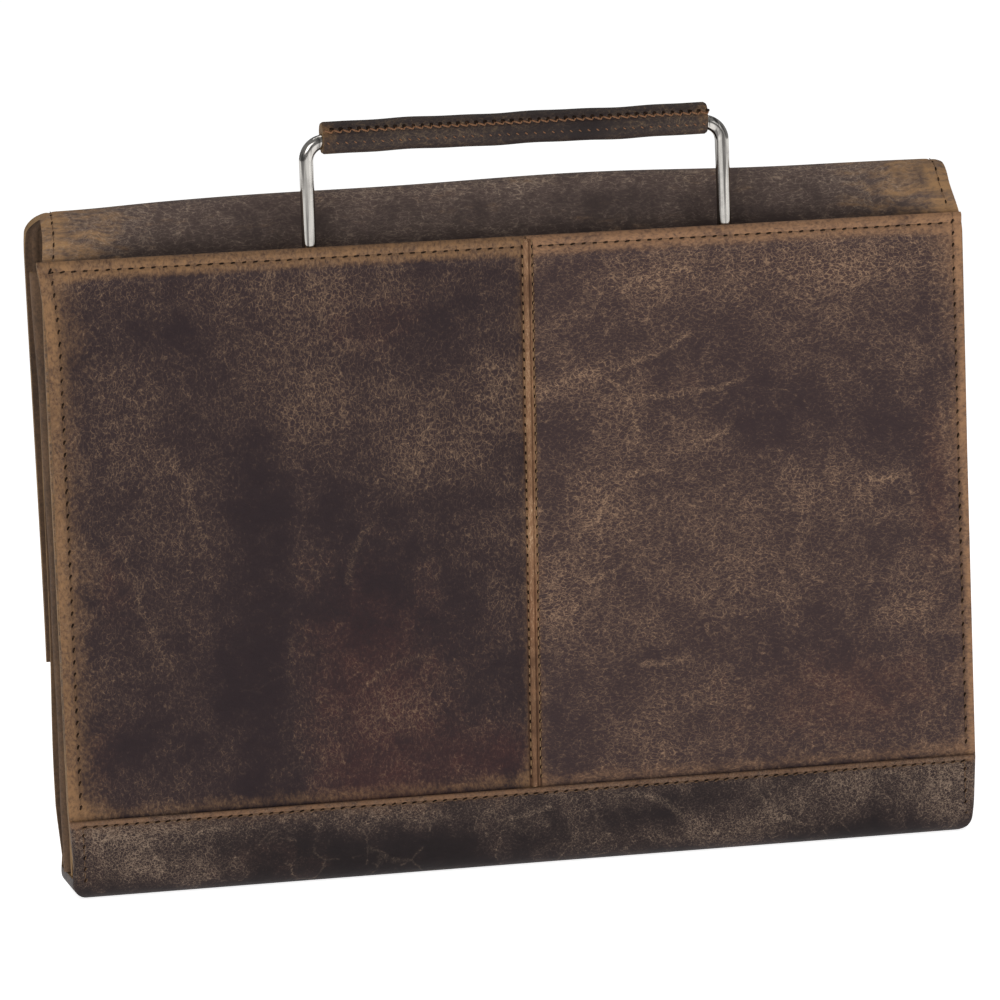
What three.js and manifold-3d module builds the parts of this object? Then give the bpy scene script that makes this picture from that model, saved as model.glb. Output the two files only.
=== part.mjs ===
// A leather document case that stands on its base. Its back has a full-width slip pocket with a
// steel bow handle that slides in it, the main compartment lies between folded side gussets, and
// the back wall runs on over the top as the flap. Millimetres, +Z up. The pocket side faces -Y,
// the flap side +Y. The origin is the middle of the base, centred on the whole outline.
import * as THREE from "three";
import { mergeVertices } from "three/addons/utils/BufferGeometryUtils.js";
import Module from "manifold-3d";

// Outline of the case
const caseWidth = 390; // across the pocket panels
const baseDepth = 35; // outside of the base band, back to front
const pocketHeight = 264.5; // top edge of the back pocket
const foldHeight = 287; // top of the flap's fold
const frontHeight = 250; // top edge of the front panel
const flapEndHeight = 95; // lower edge of the flap on the front
const bandHeight = 33; // top edges of the base band

// Leather walls and the gap kept between two pieces
const bandWall = 1.8;
const panelWall = 1.8;
const bodyWall = 2;
const gussetWall = 1.4;
const stripWall = 1.2;
const guideWall = 1.4;
const clearance = 0.3;

// Base band
const baseCorner = 7; // radius of its bottom edges
const endCorner = 2; // radius of its upright corners
const endTaper = 1; // its ends lean in by this towards the bottom
const lipHeight = 9; // turned-up leather at both ends

// Back pocket
const pocketBulge = 1; // how far its panels stand out in the middle
const pocketOpening = 15; // how far the back wall stands off behind its mouth
const hemHeight = 10; // turned edge along the mouth
const cornerFlare = 3.2; // left top corner pulled outwards
const flareHeight = 42; // length of edge that the flare takes up
const seamMargin = 6; // sewn flat along both side edges
const openingRamp = 50; // from the sewn edge to the full opening
const stripWidth = 6.4; // strip over the seam of the two panels
const seamFootX = 2.5; // where the seam meets the band
const seamTopX = 6.5; // where it meets the mouth

// Flap
const flapGap = 0.6; // between the flap and the front panel
const flapOutset = 3.2; // wider than the back wall, each side, where it comes down the front
const foldRise = 29; // height of the arch over the top, on its back
const foldShoulder = 19; // and on its front
const leftSag = 3; // the arch is lower by this at its left end
const rightSag = 1; // and by this at its right end

// Side gussets, folded twice
const gussetFold = 17; // depth of the folds
const gussetInset = 0.5; // edges inside the walls' edges
const ribOutset = 3.4; // middle rib stands out by this at its top
const ribTip = 2.2; // width of the rib's rounded tip
const gussetTopRise = 9.5; // rib top over the front panel's top

// Bow handle
const rodDiameter = 6;
const handleSpan = 177; // between the rods' axes
const handleCentreX = 5.2;
const rodTopHeight = 307.4; // axis of the rod inside the grip
const bowBend = 8; // bend radius of the rod's axis
const footBend = 5;
const footLength = 6; // straight end beyond the foot's bend
const gripLength = 163.5;
const gripHeight = 13;
const gripDepth = 11.4;
const gripUnder = 4.9; // from the rod's axis down to the grip's underside
const gripPlay = 0.5; // round the rod, inside the grip
const guideHeight = 34; // leather sleeves that the rods slide in
const guideDrop = 12; // from the pocket's top edge to the sleeves
const guideSide = 5; // leather beside the rod's hole

const colours = {
  leftPanel: 0x3b2c28,
  rightPanel: 0x4b3a32,
  strip: 0x7a5a3c,
  band: 0x3f3531,
  body: 0x54432f,
  gusset: 0x5a4632,
  grip: 0x35291f,
  steel: 0xb4b1ac,
};

const halfWidth = caseWidth / 2;
const rodRadius = rodDiameter / 2;

// Depths, from the back of the case to its front
const bandBackY = -baseDepth / 2;
const panelOuterY = bandBackY + bandWall + clearance;
const wallEdgeY = panelOuterY + panelWall + clearance;
const frontOuterY = baseDepth / 2 - bandWall - clearance;
const frontInnerY = frontOuterY - bodyWall;
const flapOuterY = frontOuterY + flapGap + bodyWall;
const wallFoot = lipHeight + clearance; // lower edge of every wall inside the band
const foldStartHeight = foldHeight - foldRise;

const wasm = await Module();
wasm.setup();

const clamp01 = (value) => Math.min(1, Math.max(0, value));
const smooth = (value) => clamp01(value) ** 2 * (3 - 2 * clamp01(value));
const mix = (a, b, share) => a + (b - a) * share;
const spread = (a, b, count) => Array.from({ length: count + 1 }, (_, i) => mix(a, b, i / count));
const point = (x, y, z) => new THREE.Vector3(x, y, z);

// 0 along the sewn side edges and 1 over the open middle of the pocket.
const acrossShare = (x) => smooth((halfWidth - seamMargin - Math.abs(x)) / openingRamp);

// Outer face of the pocket's panels. They lie flat under the band and stand out above it.
function panelY(x, z) {
  const up = smooth((z - bandHeight) / (0.7 * pocketHeight - bandHeight));
  return panelOuterY - pocketBulge * acrossShare(x) * up;
}

// Outer face of the back wall, which stands off behind the pocket's mouth.
function backWallY(x, z) {
  const up = smooth((z - bandHeight) / (0.8 * pocketHeight - bandHeight));
  return wallEdgeY + pocketOpening * acrossShare(x) * up;
}

// Side edges of the pocket, with the flared corner at the left.
function panelLeftX(z) {
  const flare = clamp01((z - pocketHeight + flareHeight) / flareHeight);
  return -halfWidth - cornerFlare * flare ** 2;
}
const seamX = (z) => mix(seamFootX, seamTopX, (z - bandHeight) / (pocketHeight - bandHeight));

// Closed solid between two grids of points that match row for row and column for column.
function solidBetween(near, far) {
  const rows = near.length;
  const columns = near[0].length;
  const position = [...near.flat(), ...far.flat()].flatMap((p) => [p.x, p.y, p.z]);
  const nearAt = (row, column) => row * columns + column;
  const farAt = (row, column) => rows * columns + nearAt(row, column);
  const index = [];
  const quad = (a, b, c, d) => index.push(a, b, c, a, c, d);
  for (let r = 0; r < rows - 1; r++) {
    for (let c = 0; c < columns - 1; c++) {
      quad(nearAt(r, c), nearAt(r, c + 1), nearAt(r + 1, c + 1), nearAt(r + 1, c));
      quad(farAt(r, c), farAt(r + 1, c), farAt(r + 1, c + 1), farAt(r, c + 1));
    }
  }
  for (let c = 0; c < columns - 1; c++) {
    const last = rows - 1;
    quad(nearAt(0, c), farAt(0, c), farAt(0, c + 1), nearAt(0, c + 1));
    quad(nearAt(last, c), nearAt(last, c + 1), farAt(last, c + 1), farAt(last, c));
  }
  for (let r = 0; r < rows - 1; r++) {
    const last = columns - 1;
    quad(nearAt(r, 0), nearAt(r + 1, 0), farAt(r + 1, 0), farAt(r, 0));
    quad(nearAt(r, last), farAt(r, last), farAt(r + 1, last), nearAt(r + 1, last));
  }
  return facingOut(position, index);
}

// Closed solid through rings of points, each ring a closed loop, with flat ends.
function solidThrough(rings) {
  const count = rings[0].length;
  const position = rings.flat().flatMap((p) => [p.x, p.y, p.z]);
  const index = [];
  for (let r = 0; r < rings.length - 1; r++) {
    for (let i = 0; i < count; i++) {
      const a = r * count + i;
      const b = r * count + ((i + 1) % count);
      index.push(a, b, b + count, a, b + count, a + count);
    }
  }
  const lastRing = (rings.length - 1) * count;
  for (let i = 1; i < count - 1; i++) {
    index.push(0, i + 1, i);
    index.push(lastRing, lastRing + i, lastRing + i + 1);
  }
  return facingOut(position, index);
}

// Turns the faces round where they point inwards.
function facingOut(position, index) {
  const at = (i) => new THREE.Vector3().fromArray(position, 3 * i);
  let volume = 0;
  for (let i = 0; i < index.length; i += 3)
    volume += at(index[i]).dot(at(index[i + 1]).cross(at(index[i + 2])));
  if (volume < 0) index.reverse();
  const geometry = new THREE.BufferGeometry();
  geometry.setAttribute("position", new THREE.Float32BufferAttribute(position, 3));
  geometry.setIndex(index);
  geometry.computeVertexNormals();
  return geometry;
}

// A wall that follows an open path in a plane, wall millimetres to the left of its outer line.
// path is a list of [a, b] and place turns an [a, b] into a point.
function offsetPath(path, wall) {
  return path.map(([a, b], i) => {
    const before = path[Math.max(i - 1, 0)];
    const after = path[Math.min(i + 1, path.length - 1)];
    const [da, db] = [after[0] - before[0], after[1] - before[1]];
    const length = Math.hypot(da, db);
    return [a - (wall * db) / length, b + (wall * da) / length];
  });
}

function toManifold(geometry) {
  const bare = geometry.clone();
  for (const name of Object.keys(bare.attributes))
    if (name !== "position") bare.deleteAttribute(name);
  const merged = mergeVertices(bare, 1e-4);
  return new wasm.Manifold(
    new wasm.Mesh({
      numProp: 3,
      vertProperties: merged.attributes.position.array,
      triVerts: new Uint32Array(merged.index.array),
    }),
  );
}

function fromManifold(solid) {
  const mesh = solid.getMesh();
  const geometry = new THREE.BufferGeometry();
  geometry.setAttribute("position", new THREE.Float32BufferAttribute(mesh.vertProperties, 3));
  geometry.setIndex(Array.from(mesh.triVerts));
  geometry.computeVertexNormals();
  return geometry;
}

// Back wall and flap: one sheet from the band up behind the pocket, over the top and down the front.
// Its side edges, as shares of the flap's outset: up the back wall, over the fold and down the front.
const flapEdges = [
  { over: 0, out: 0 },
  { over: 1, out: 0.3 },
  { over: 1.5, out: -0.5 },
  { over: 2, out: 1 },
  { over: 3, out: 0.5 },
];

function flapHalfWidth(over) {
  const next = Math.max(1, flapEdges.findIndex((edge) => edge.over >= over));
  const [low, high] = [flapEdges[next - 1], flapEdges[next]];
  const share = (over - low.over) / (high.over - low.over);
  return halfWidth + flapOutset * mix(low.out, high.out, smooth(share));
}

function flapPath(x) {
  const sag = (x < 0 ? leftSag : rightSag) * Math.abs(x / halfWidth) ** 2;
  const top = foldHeight - sag;
  const startY = backWallY(x, foldStartHeight);
  const middleY = (startY + flapOuterY) / 2;
  const reachY = (flapOuterY - startY) / 2;
  const back = spread(wallFoot, foldStartHeight - sag, 9).map((z, i) => [backWallY(x, z), z, i / 9]);
  const fold = spread(0, Math.PI, 14).map((turn) => {
    const rise = turn < Math.PI / 2 ? foldRise : foldShoulder;
    return [middleY - reachY * Math.cos(turn), top - rise * (1 - Math.sin(turn)), 1 + turn / Math.PI];
  });
  const front = spread(top - foldShoulder, flapEndHeight, 6).map((z, i) => [flapOuterY, z, 2 + i / 6]);
  return [...back.slice(0, -1), ...fold.slice(0, -1), ...front];
}

function backWallAndFlap() {
  const ends = [-1, -0.985, -0.96, -0.93, -0.89, -0.84, -0.78, -0.72, -0.5, -0.25, 0];
  const stations = [...ends, ...ends.slice(0, -1).reverse().map((share) => -share)];
  const outer = [];
  const inner = [];
  for (const share of stations) {
    const path = flapPath(share * halfWidth);
    const inside = offsetPath(path.map(([y, z]) => [y, z]), -bodyWall);
    const acrossX = path.map(([, , over]) => share * flapHalfWidth(over));
    outer.push(path.map(([y, z], i) => point(acrossX[i], y, z)));
    inner.push(inside.map(([y, z], i) => point(acrossX[i], y, z)));
  }
  return solidBetween(outer, inner);
}

// One half of the pocket, from an outer edge to the seam. Its top is turned in as a hem.
const pocketLevels = [
  ...spread(wallFoot, bandHeight, 1),
  ...spread(bandHeight, pocketHeight - hemHeight, 8).slice(1),
];

function pocketPanel(edgeX, seamGap) {
  const shares = [0, 0.03, 0.07, 0.12, 0.18, 0.25, 0.4, 0.6, 0.8, 1];
  const hemStart = pocketHeight - hemHeight;
  const profile = [
    ...pocketLevels.map((z) => [z, panelWall]),
    [hemStart + clearance, 2 * panelWall],
    [pocketHeight - panelWall / 2, 2 * panelWall],
    [pocketHeight, 1.4 * panelWall],
  ];
  const outer = [];
  const inner = [];
  for (const [z, wall] of profile) {
    const line = shares.map((share) => mix(edgeX(z), seamX(z) + seamGap, share));
    const atTop = z === pocketHeight ? 0.3 * panelWall : 0;
    const doubled = (x) => (Math.abs(x) > halfWidth - seamMargin - openingRamp / 2 ? panelWall : wall);
    outer.push(line.map((x) => point(x, panelY(x, z) + atTop, z)));
    inner.push(line.map((x) => point(x, panelY(x, z) + Math.max(doubled(x), atTop + 1), z)));
  }
  return solidBetween(outer, inner);
}

function seamStrip() {
  const levels = [bandHeight + clearance, ...pocketLevels.slice(2), pocketHeight - panelWall / 2];
  const sides = spread(-stripWidth / 2, stripWidth / 2, 2);
  const row = (z, lift) => sides.map((side) => {
    const x = seamX(z) + side;
    return point(x, panelY(x, z) - clearance - lift, z);
  });
  return solidBetween(levels.map((z) => row(z, stripWall)), levels.map((z) => row(z, 0)));
}

function frontPanel() {
  const face = (y) =>
    spread(wallFoot, frontHeight, 4).map((z) => spread(-halfWidth, halfWidth, 6).map((x) => point(x, y, z)));
  return solidBetween(face(frontOuterY), face(frontInnerY));
}

// Base band: a trough with rounded bottom edges, its ends open above the turned-up lips.
function trayShape(inwards, top) {
  const radius = baseCorner - inwards;
  const rounding = spread(0, Math.PI / 2, 5).map((turn) => [
    baseCorner - radius * Math.cos(turn),
    inwards + radius * (1 - Math.sin(turn)),
  ]);
  const levels = [...rounding, [lipHeight, inwards], [top, inwards]];
  const corner = Math.max(endCorner - inwards, clearance);
  const corners = [0, 1, 2, 3].flatMap((quarter) =>
    spread(0, Math.PI / 2, 3).map((turn) => ({ quarter, turn: turn + (quarter * Math.PI) / 2 })),
  );
  const rings = levels.map(([z, inset]) => {
    const reachX = halfWidth - inset - corner - endTaper * (1 - z / bandHeight);
    const reachY = baseDepth / 2 - inset - corner;
    return corners.map(({ quarter, turn }) => {
      const signX = quarter === 0 || quarter === 3 ? 1 : -1;
      const signY = quarter < 2 ? 1 : -1;
      return point(signX * reachX + corner * Math.cos(turn), signY * reachY + corner * Math.sin(turn), z);
    });
  });
  return toManifold(solidThrough(rings));
}

function baseBand() {
  const insideY = baseDepth / 2 - bandWall;
  const endCut = new THREE.BoxGeometry(4 * baseCorner, 2 * insideY, 2 * bandHeight);
  endCut.translate(0, 0, lipHeight + bandHeight);
  let solid = trayShape(0, bandHeight).subtract(trayShape(bandWall, 2 * bandHeight));
  for (const side of [-1, 1]) solid = solid.subtract(toManifold(endCut.clone().translate(side * halfWidth, 0, 0)));
  return fromManifold(solid);
}

// Side gusset: in from the back wall, out to the middle rib, in again and out to the front panel.
// Each row of the table is one point of the fold, from the back: how far out it lies and how far across.
const gussetFolds = [
  { out: 0, across: 0, rib: 0 },
  { out: -0.5, across: 0.09, rib: 0 },
  { out: -0.94, across: 0.18, rib: 0 },
  { out: -1, across: 0.225, rib: 0 },
  { out: -0.94, across: 0.27, rib: 0 },
  { out: -0.5, across: 0.37, rib: 0.5 },
  { out: -0.04, across: 0.46, rib: 1 },
  { out: 0, across: 0.5, rib: 1 },
  { out: -0.04, across: 0.54, rib: 1 },
  { out: -0.5, across: 0.63, rib: 0.5 },
  { out: -0.94, across: 0.73, rib: 0 },
  { out: -1, across: 0.775, rib: 0 },
  { out: -0.94, across: 0.82, rib: 0 },
  { out: -0.5, across: 0.91, rib: 0 },
  { out: 0, across: 1, rib: 0 },
];

function gusset(side) {
  const backY = wallEdgeY + bodyWall + clearance + gussetWall / 2;
  const frontY = frontInnerY - clearance - gussetWall / 2;
  const ribTop = frontHeight + gussetTopRise;
  const backTop = foldStartHeight - leftSag - clearance;
  const topAt = (across) => (across < 0.5
    ? mix(backTop, ribTop, across / 0.5)
    : mix(ribTop, frontHeight, (across - 0.5) / 0.5));
  const near = [];
  const far = [];
  for (const share of [0, 0.15, 0.3, 0.45, 0.6, 0.75, 0.88, 1]) {
    const path = gussetFolds.map(({ out, across, rib }) => {
      const tip = rib * ribOutset * mix(0.25, 1, share ** 3);
      return [halfWidth - gussetInset + out * gussetFold + tip, mix(backY, frontY, across)];
    });
    path[6][1] = (backY + frontY - ribTip) / 2;
    path[8][1] = (backY + frontY + ribTip) / 2;
    const heights = gussetFolds.map(({ across }) => mix(wallFoot, topAt(across), share));
    const line = (wall) => offsetPath(path, wall).map(([x, y], i) => point(side * x, y, heights[i]));
    near.push(line(-gussetWall / 2));
    far.push(line(gussetWall / 2));
  }
  return solidBetween(near, far);
}

// Bow handle. Depth of its rods: clear of the hem and of the sleeves' outer wall.
const guideTop = pocketHeight - guideDrop;
const guideBottom = guideTop - guideHeight;
const rodXs = [-1, 1].map((side) => handleCentreX + (side * handleSpan) / 2);
const guideHalf = rodRadius + clearance + guideSide;
const guideBackY = Math.max(
  ...rodXs.flatMap((x) => [-guideHalf, guideHalf].map((side) => panelY(x + side, guideBottom))),
) + panelWall + clearance;
const hemInnerY = panelOuterY + 2 * panelWall;
const rodY = Math.max(guideBackY + guideWall, hemInnerY) + clearance + rodRadius;
const guideFrontY = rodY + rodRadius + clearance + guideWall;
const footZ = guideBottom - clearance - footBend;

// Axis of the rod, as [x, z] with its direction: foot, rod, top, rod, foot.
function bowAxis() {
  const arc = (centreX, centreZ, radius, from, to, steps) =>
    spread(from, to, steps).map((turn) => [centreX + radius * Math.cos(turn), centreZ + radius * Math.sin(turn)]);
  const half = handleSpan / 2;
  const left = [
    [-half - footBend - footLength, footZ],
    ...arc(-half - footBend, footZ + footBend, footBend, -Math.PI / 2, 0, 5),
    ...arc(-half + bowBend, rodTopHeight - bowBend, bowBend, Math.PI, Math.PI / 2, 7),
  ];
  return [...left, ...left.map(([x, z]) => [-x, z]).reverse()];
}

function handleBow() {
  const axis = bowAxis();
  const turns = spread(0, 2 * Math.PI, 12).slice(0, -1);
  const rings = axis.map(([x, z], i) => {
    const before = axis[Math.max(i - 1, 0)];
    const after = axis[Math.min(i + 1, axis.length - 1)];
    const along = new THREE.Vector2(after[0] - before[0], after[1] - before[1]).normalize();
    return turns.map((turn) => {
      const aside = rodRadius * Math.cos(turn);
      const deep = rodRadius * Math.sin(turn);
      return point(handleCentreX + x - along.y * aside, rodY + deep, z + along.x * aside);
    });
  });
  return solidThrough(rings);
}

// Leather round the top of the bow: a tube whose seam makes it taller above the rod.
function handleGrip() {
  const outline = new THREE.Shape();
  outline.absellipse(0, gripHeight / 2 - gripUnder, gripDepth / 2, gripHeight / 2, 0, 2 * Math.PI);
  const bore = new THREE.Path();
  bore.absarc(0, 0, rodRadius + gripPlay, 0, 2 * Math.PI, true);
  outline.holes.push(bore);
  const tube = new THREE.ExtrudeGeometry(outline, {
    depth: gripLength,
    steps: 8,
    curveSegments: 10,
    bevelEnabled: false,
  });
  tube.rotateX(Math.PI / 2);
  tube.rotateZ(Math.PI / 2);
  tube.translate(handleCentreX - gripLength / 2, rodY, rodTopHeight);
  return tube;
}

// Sleeve that a rod slides in, sewn flat on the inside of the pocket.
function handleGuide(x) {
  const outline = new THREE.Shape();
  const cut = (guideFrontY - guideBackY) / 2;
  outline.moveTo(-guideHalf, guideBackY);
  outline.lineTo(guideHalf, guideBackY);
  outline.lineTo(guideHalf, guideBackY + guideWall);
  outline.lineTo(guideHalf - guideSide + guideWall, guideFrontY - cut);
  outline.lineTo(rodRadius, guideFrontY);
  outline.lineTo(-rodRadius, guideFrontY);
  outline.lineTo(-guideHalf + guideSide - guideWall, guideFrontY - cut);
  outline.lineTo(-guideHalf, guideBackY + guideWall);
  const bore = new THREE.Path();
  bore.absarc(0, rodY, rodRadius + clearance, 0, 2 * Math.PI, true);
  outline.holes.push(bore);
  const sleeve = new THREE.ExtrudeGeometry(outline, { depth: guideHeight, curveSegments: 8, bevelEnabled: false });
  sleeve.translate(x, 0, guideBottom);
  return sleeve;
}

const documentCase = new THREE.Group();
const frame = new THREE.Group();
const handle = new THREE.Group();
documentCase.add(frame, handle);

function addPiece(group, name, geometry, color, roughness = 0.6, metalness = 0) {
  const mesh = new THREE.Mesh(geometry, new THREE.MeshStandardMaterial({ color, roughness, metalness }));
  mesh.name = name;
  group.add(mesh);
}

addPiece(frame, "back_wall_and_flap", backWallAndFlap(), colours.body);
addPiece(frame, "pocket_panel_left", pocketPanel(panelLeftX, -clearance / 2), colours.leftPanel);
addPiece(frame, "pocket_panel_right", pocketPanel(() => halfWidth, clearance / 2), colours.rightPanel);
addPiece(frame, "pocket_seam_strip", seamStrip(), colours.strip);
addPiece(frame, "front_panel", frontPanel(), colours.body);
addPiece(frame, "base_band", baseBand(), colours.band);
addPiece(frame, "gusset_left", gusset(-1), colours.gusset);
addPiece(frame, "gusset_right", gusset(1), colours.gusset);
addPiece(frame, "handle_guide_left", handleGuide(rodXs[0]), colours.gusset);
addPiece(frame, "handle_guide_right", handleGuide(rodXs[1]), colours.gusset);
addPiece(handle, "handle_bow", handleBow(), colours.steel, 0.3, 1);
addPiece(handle, "handle_grip", handleGrip(), colours.grip);

// The origin is the middle of the whole outline, on the surface the case stands on.
const outlineBox = new THREE.Box3().setFromObject(documentCase);
const outlineCentre = outlineBox.getCenter(new THREE.Vector3());
documentCase.position.set(-outlineCentre.x, -outlineCentre.y, -outlineBox.min.z);

export default documentCase;
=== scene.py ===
from math import cos, hypot, pi, radians, sin, sqrt

import bpy
import numpy as np
from mathutils import Matrix, Vector


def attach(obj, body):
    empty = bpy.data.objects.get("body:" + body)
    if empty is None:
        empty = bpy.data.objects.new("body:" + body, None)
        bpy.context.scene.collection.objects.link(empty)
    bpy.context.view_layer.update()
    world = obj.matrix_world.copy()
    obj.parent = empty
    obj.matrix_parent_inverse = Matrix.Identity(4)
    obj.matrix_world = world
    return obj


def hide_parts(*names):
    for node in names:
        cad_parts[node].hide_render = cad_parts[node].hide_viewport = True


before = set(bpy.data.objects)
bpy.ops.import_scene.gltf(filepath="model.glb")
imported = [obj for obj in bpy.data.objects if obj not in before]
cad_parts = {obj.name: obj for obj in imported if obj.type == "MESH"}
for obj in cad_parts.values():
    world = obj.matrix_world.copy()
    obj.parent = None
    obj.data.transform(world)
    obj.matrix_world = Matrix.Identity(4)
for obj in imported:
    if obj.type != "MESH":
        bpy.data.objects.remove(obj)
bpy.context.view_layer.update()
print("frame loaded")

# camera
cameraView = {
    "lens": 219.2, "target": (-0.0048, 0.0001, 0.1529), "azimuth": -12.555, "elevation": 7.402,
    "roll": 2.075, "distance": 2.55, "sensor": 36, "clip": (0.1, 40),
}


def placeCamera(view):
    side, up, roll = (radians(view[key]) for key in ("azimuth", "elevation", "roll"))
    back = Vector((sin(side) * cos(up), -cos(side) * cos(up), sin(up)))
    right = (-back).cross(Vector((0, 0, 1))).normalized()
    top = right.cross(-back)
    turned = right * cos(roll) - top * sin(roll)
    turnedTop = top * cos(roll) + right * sin(roll)
    data = bpy.data.cameras.new("camera")
    data.lens, data.sensor_width = view["lens"], view["sensor"]
    data.clip_start, data.clip_end = view["clip"]
    camera = bpy.data.objects.new("camera", data)
    bpy.context.scene.collection.objects.link(camera)
    place = Matrix.Translation(Vector(view["target"]) + back * view["distance"])
    camera.matrix_world = place @ Matrix((turned, turnedTop, back)).transposed().to_4x4()
    bpy.context.scene.camera = camera


placeCamera(cameraView)


# shader tools
def hexColour(code):  # from a screen colour to linear light
    parts = [int(code[i : i + 2], 16) / 255 for i in (1, 3, 5)]
    return tuple(p / 12.92 if p <= 0.04045 else ((p + 0.055) / 1.055) ** 2.4 for p in parts) + (1.0,)


class Wire:
    def __init__(self, finish, socket):
        self.finish, self.socket = finish, socket

    def calc(self, operation, *others):
        return self.finish.add("Math", {"operation": operation}, dict(enumerate((self,) + others)))

    def __add__(self, other):
        return self.calc("ADD", other)

    __radd__ = __add__

    def __sub__(self, other):
        return self.calc("SUBTRACT", other)

    def __rsub__(self, other):
        return self.finish.add("Math", {"operation": "SUBTRACT"}, {0: other, 1: self})

    def __mul__(self, other):
        return self.calc("MULTIPLY", other)

    __rmul__ = __mul__

    def step(self, low, high):  # 0 below low and 1 above high, smooth between
        settings = {"interpolation_type": "SMOOTHSTEP"}
        return self.finish.add("MapRange", settings, {0: self, 1: low, 2: high, 3: 0.0, 4: 1.0})


class Finish:
    def __init__(self, name):
        self.material = bpy.data.materials.new(name)
        self.material.use_nodes = True
        self.tree = self.material.node_tree
        self.shader = self.tree.nodes["Principled BSDF"]
        self.place = self.add("TexCoord", {}, {}, "Object")

    def add(self, kind, settings, values, output=0):
        node = self.tree.nodes.new("ShaderNode" + kind)
        for key, value in settings.items():
            setattr(node, key, value)
        for key, value in values.items():
            self.plug(value, node.inputs[key])
        return Wire(self, node.outputs[output])

    def plug(self, value, socket):  # a colour may be given by its code
        if isinstance(value, Wire):
            self.tree.links.new(value.socket, socket)
        else:
            socket.default_value = hexColour(value) if isinstance(value, str) else value

    def blend(self, below, above, mask):
        return self.add("Mix", {"data_type": "RGBA"}, {0: mask, 6: below, 7: above}, 2)

    def noise(self, place, scale, detail=3.0, roughness=0.55):
        values = {"Vector": place, "Scale": scale, "Detail": detail, "Roughness": roughness}
        return self.add("TexNoise", {}, values)

    def cells(self, place, scale):  # how far each spot lies from the lines of a net
        values = {"Vector": place, "Scale": scale}
        return self.add("TexVoronoi", {"feature": "DISTANCE_TO_EDGE"}, values)

    def stretched(self, place, stretch, turn=(0, 0, 0)):
        values = {"Vector": place, "Rotation": [radians(a) for a in turn], "Scale": stretch}
        return self.add("Mapping", {}, values)

    def shifted(self, place, scale, reach):  # bends the pattern, so that no line runs straight
        cloud = self.add("TexNoise", {}, {"Vector": place, "Scale": scale, "Detail": 2.0}, "Color")
        centred = self.add("VectorMath", {"operation": "SUBTRACT"}, {0: cloud, 1: (0.5, 0.5, 0.5)})
        small = self.add("VectorMath", {"operation": "SCALE"}, {0: centred, "Scale": reach})
        return self.add("VectorMath", {"operation": "ADD"}, {0: place, 1: small})

    def done(self, **values):
        for key, value in values.items():
            self.plug(value, self.shader.inputs[key])
        return self.material


# leathers
toneNames = ("deep", "mid", "high", "pale", "tan", "red")
plainHide = {
    "cloud": 0.9, "mottle": 0.9, "vein": 0.5, "crease": 0.2, "shift": -0.05, "stretch": (1, 1, 1),
    "turn": (0, 0, 0), "fine": 1.0, "streaked": False, "bold": 0.0, "creases": [],
}
leatherLooks = {
    "left_panel_hide": {
        "tones": "#2b2124 #3b2d2d #604a3f #9a7d64 #9b7653 #532d2a",
        "vein": 0.88, "crease": 0.12, "shift": -0.1, "stretch": (1.15, 1, 0.8), "turn": (0, 10, 0),
        "bold": 0.45,
        "creases": [
            (-176, 152, -160, 120, 3), (-163, 128, -148, 92, -2), (-146, 182, -134, 140, 2),
            (-72, 78, -40, 92, 3), (-62, 150, -74, 122, -3),
        ],
    },
    "right_panel_hide": {
        "tones": "#34282b #463634 #6f5246 #a6866b #a67e5d #603a30",
        "cloud": 0.7, "mottle": 0.8, "vein": 0.98, "crease": 0.25, "shift": -0.02,
        "stretch": (0.8, 1, 1.25), "turn": (0, -12, 0), "bold": 0.7,
        "creases": [
            (8, 198, 40, 207, 1.5), (39, 206, 76, 221, -2), (46, 239, 81, 245, 4), (45, 195, 99, 200, -2.5),
            (37, 205, 50, 174, 5), (24, 138, 38, 156, -2), (44, 161, 66, 162, 1), (147, 156, 166, 154, -1),
            (68, 170, 93, 182, -1.5), (48, 82, 70, 84, -2), (24, 120, 44, 126, -3),
        ],
    },
    "body_hide": {
        "tones": "#3c3230 #5e4f4a #877468 #bfa892 #a6815b #56382c",
        "vein": 0.65, "crease": 0.4, "shift": 0.0, "stretch": (0.5, 1, 1.3), "turn": (0, 4, 0),
        "streaked": True,
    },
    "band_hide": {
        "tones": "#221c1d #372b2a #58463e #a28b77 #86654c #4f3029",
        "cloud": 1.0, "mottle": 1.1, "vein": 1.05, "crease": 0.4, "shift": -0.08, "stretch": (0.9, 1, 1.1),
        "turn": (0, 25, 0), "fine": 1.5, "bold": 0.6,
        "creases": [
            (-176, 26, -160, 10, 5), (-150, 20, -128, 24, 3), (40, 27, 66, 14, 4), (98, 24, 120, 8, -3),
            (-12, 18, 10, 24, 2),
        ],
    },
    "strip_hide": {
        "tones": "#50382a #8f694c #b38c67 #e0bd97 #a87d5a #7b4e38",
        "mottle": 1.4, "vein": 0.8, "crease": 0.0, "shift": 0.0, "stretch": (2.2, 2.2, 0.3),
        "turn": (0, 1, 0), "fine": 1.2,
    },
    "gusset_hide": {"tones": "#3f3023 #725840 #967654 #b5956c #93704c #6f4a35", "stretch": (1, 1, 0.6)},
    "grip_hide": {
        "tones": "#241e1e #3d3331 #766253 #9c8260 #8f6b47 #4c3026",
        "cloud": 0.8, "crease": 0.3, "stretch": (0.7, 1, 1),
    },
}
# scale, detail and roughness of the patterns that every hide has
patterns = {
    "clouds": (17, 4.0, 0.6), "mottle": (95, 4.0, 0.65), "grain": (720, 2.5, 0.62),
    "wander": (400, 3.0, 0.65), "wrinkleShading": (260, 3.5, 0.6),
}
hideScales = {"bend": (90, 0.005), "net": 500.0, "folds": 62.0, "relief": (170, 4.0, 0.75)}
# the form of the long streaks, which are painted wrinkle shading
streakForm = {"stretch": (0.13, 1, 1.3), "turn": (0, 6, 0)}
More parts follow.
